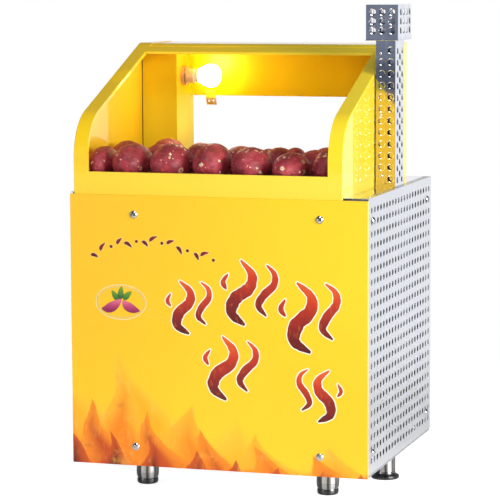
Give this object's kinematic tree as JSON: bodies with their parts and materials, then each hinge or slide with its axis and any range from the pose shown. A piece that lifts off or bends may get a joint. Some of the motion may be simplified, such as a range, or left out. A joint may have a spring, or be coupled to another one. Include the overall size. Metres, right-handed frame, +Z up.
{
  "type": "baked potato oven",
  "caption": "Baked potato oven: yellow front panel, perforated steel side guards, slope-fronted display hood with lamp, drawers behind, guarded chimney and levelling feet.",
  "frame": {"origin": "on the floor under the middle of the footprint box", "axes": "+X to the right and +Y from the customer's front panel to the operator's drawers, +Z up"},
  "size_m": [0.6094, 0.5762, 0.9645],
  "materials": {
    "yellow_print": "warm yellow printed sheet, satin",
    "yellow_gloss": "yellow gloss powder coat",
    "stainless_satin": "satin perforated stainless steel",
    "stainless_mirror": "mirror stainless steel",
    "stainless_brushed": "brushed stainless steel",
    "chrome": "polished",
    "frame_steel": "grey primer",
    "galvanised": "galvanised sheet",
    "mineral_wool": "mineral wool board",
    "dark_iron": "heat-darkened steel",
    "brass": "machined brass",
    "black_plastic": "moulded black plastic",
    "red_plastic": "moulded red plastic",
    "porcelain": "glazed ceramic",
    "lamp_glass": "frosted glass, lit",
    "potato_skin": "matt purple-red skin"
  },
  "bodies": {
    "cabinet": {"front_panel": "yellow_print", "front_panel_screws": "chrome", "side_guard_left": "stainless_satin", "side_guard_right": "stainless_satin", "side_guard_screws": "chrome", "top_plate": "stainless_mirror", "rear_face_frame": "stainless_brushed", "base_pan": "galvanised", "leg_tubes": "chrome", "chassis_frame": "frame_steel", "chamber_liner": "stainless_brushed", "insulation_slabs": "mineral_wool", "inner_casing": "galvanised", "drawer_runners": "stainless_brushed", "heat_baffle": "dark_iron", "burner_tubes": "dark_iron", "gas_manifold": "brass", "gas_valve": "brass", "gas_inlet": "brass", "control_housings": "black_plastic", "cable_gland": "black_plastic", "flue_riser": "stainless_satin", "chimney_pipe": "stainless_mirror", "chimney_guard": "stainless_mirror", "chimney_guard_screws": "chrome", "hood_side_left": "yellow_gloss", "hood_side_right": "yellow_gloss", "hood_front_sill": "yellow_gloss", "hood_top_rail": "yellow_gloss", "hood_top_panel": "yellow_gloss", "hood_header": "yellow_gloss", "hood_lamp_column": "yellow_gloss", "hood_back_panel": "yellow_gloss", "display_tray": "stainless_mirror", "lamp_holder": "porcelain", "catch_plate": "brass", "display_potatoes": "potato_skin"},
    "foot_front_left": {"foot_front_left": "chrome"},
    "foot_front_right": {"foot_front_right": "chrome"},
    "foot_rear_left": {"foot_rear_left": "chrome"},
    "foot_rear_right": {"foot_rear_right": "chrome"},
    "chimney_cap": {"chimney_cap": "stainless_mirror"},
    "lamp_bulb": {"lamp_bulb": "lamp_glass"},
    "gas_knob": {"gas_knob": "black_plastic"},
    "igniter_button": {"igniter_button": "red_plastic"},
    "lamp_rocker": {"lamp_rocker": "black_plastic"},
    "crumb_tray": {"crumb_tray": "stainless_brushed"},
    "access_flap": {"access_flap": "stainless_brushed"},
    "drawer_1": {"drawer_1": "stainless_brushed", "drawer_handle_1": "black_plastic"},
    "drawer_2": {"drawer_2": "stainless_brushed", "drawer_handle_2": "black_plastic"},
    "drawer_3": {"drawer_3": "stainless_brushed", "drawer_handle_3": "black_plastic"},
    "drawer_4": {"drawer_4": "stainless_brushed", "drawer_handle_4": "black_plastic"},
    "drawer_5": {"drawer_5": "stainless_brushed", "drawer_handle_5": "black_plastic"},
    "drawer_6": {"drawer_6": "stainless_brushed", "drawer_handle_6": "black_plastic"}
  },
  "joints": [
    {"name": "drawer_1_slide", "type": "slide", "parent": "cabinet", "child": "drawer_1", "axis": [0, 1, 0], "range_m": [0, 0.4]},
    {"name": "drawer_2_slide", "type": "slide", "parent": "cabinet", "child": "drawer_2", "axis": [0, 1, 0], "range_m": [0, 0.4]},
    {"name": "drawer_3_slide", "type": "slide", "parent": "cabinet", "child": "drawer_3", "axis": [0, 1, 0], "range_m": [0, 0.4]},
    {"name": "drawer_4_slide", "type": "slide", "parent": "cabinet", "child": "drawer_4", "axis": [0, 1, 0], "range_m": [0, 0.4]},
    {"name": "drawer_5_slide", "type": "slide", "parent": "cabinet", "child": "drawer_5", "axis": [0, 1, 0], "range_m": [0, 0.4]},
    {"name": "drawer_6_slide", "type": "slide", "parent": "cabinet", "child": "drawer_6", "axis": [0, 1, 0], "range_m": [0, 0.4]},
    {"name": "crumb_tray_slide", "type": "slide", "parent": "cabinet", "child": "crumb_tray", "axis": [0, 1, 0], "range_m": [0, 0.4]},
    {"name": "access_flap_hinge", "type": "hinge", "parent": "cabinet", "child": "access_flap", "pos_m": [0.00013, 0.23627, 0.107], "axis": [-1, 0, 0], "range_deg": [0, 90]},
    {"name": "gas_knob_turn", "type": "hinge", "parent": "cabinet", "child": "gas_knob", "pos_m": [0.26813, 0.24607, 0.152], "axis": [0, 1, 0], "range_deg": [0, 180]},
    {"name": "igniter_push", "type": "slide", "parent": "cabinet", "child": "igniter_button", "axis": [0, -1, 0], "range_m": [0, 0.007], "stiffness_N_per_m": 600},
    {"name": "lamp_rocker_tilt", "type": "hinge", "parent": "cabinet", "child": "lamp_rocker", "pos_m": [0.27413, 0.23207, 0.3], "axis": [1, 0, 0], "range_deg": [0, 14]},
    {"name": "chimney_cap_lift", "type": "slide", "parent": "cabinet", "child": "chimney_cap", "axis": [0, 0, 1], "range_m": [0, 0.1]},
    {"name": "lamp_bulb_turn", "type": "hinge", "parent": "cabinet", "child": "lamp_bulb", "pos_m": [-0.15787, 0.15607, 0.8125], "axis": [-1, 0, 0], "continuous": true},
    {"name": "foot_front_left_turn", "type": "hinge", "parent": "cabinet", "child": "foot_front_left", "pos_m": [-0.20417, -0.11693, 0.02], "axis": [0, 0, 1], "continuous": true},
    {"name": "foot_front_right_turn", "type": "hinge", "parent": "cabinet", "child": "foot_front_right", "pos_m": [0.17513, -0.11693, 0.02], "axis": [0, 0, 1], "continuous": true},
    {"name": "foot_rear_left_turn", "type": "hinge", "parent": "cabinet", "child": "foot_rear_left", "pos_m": [-0.27587, 0.06307, 0.02], "axis": [0, 0, 1], "continuous": true},
    {"name": "foot_rear_right_turn", "type": "hinge", "parent": "cabinet", "child": "foot_rear_right", "pos_m": [0.24613, 0.06307, 0.02], "axis": [0, 0, 1], "continuous": true}
  ]
}
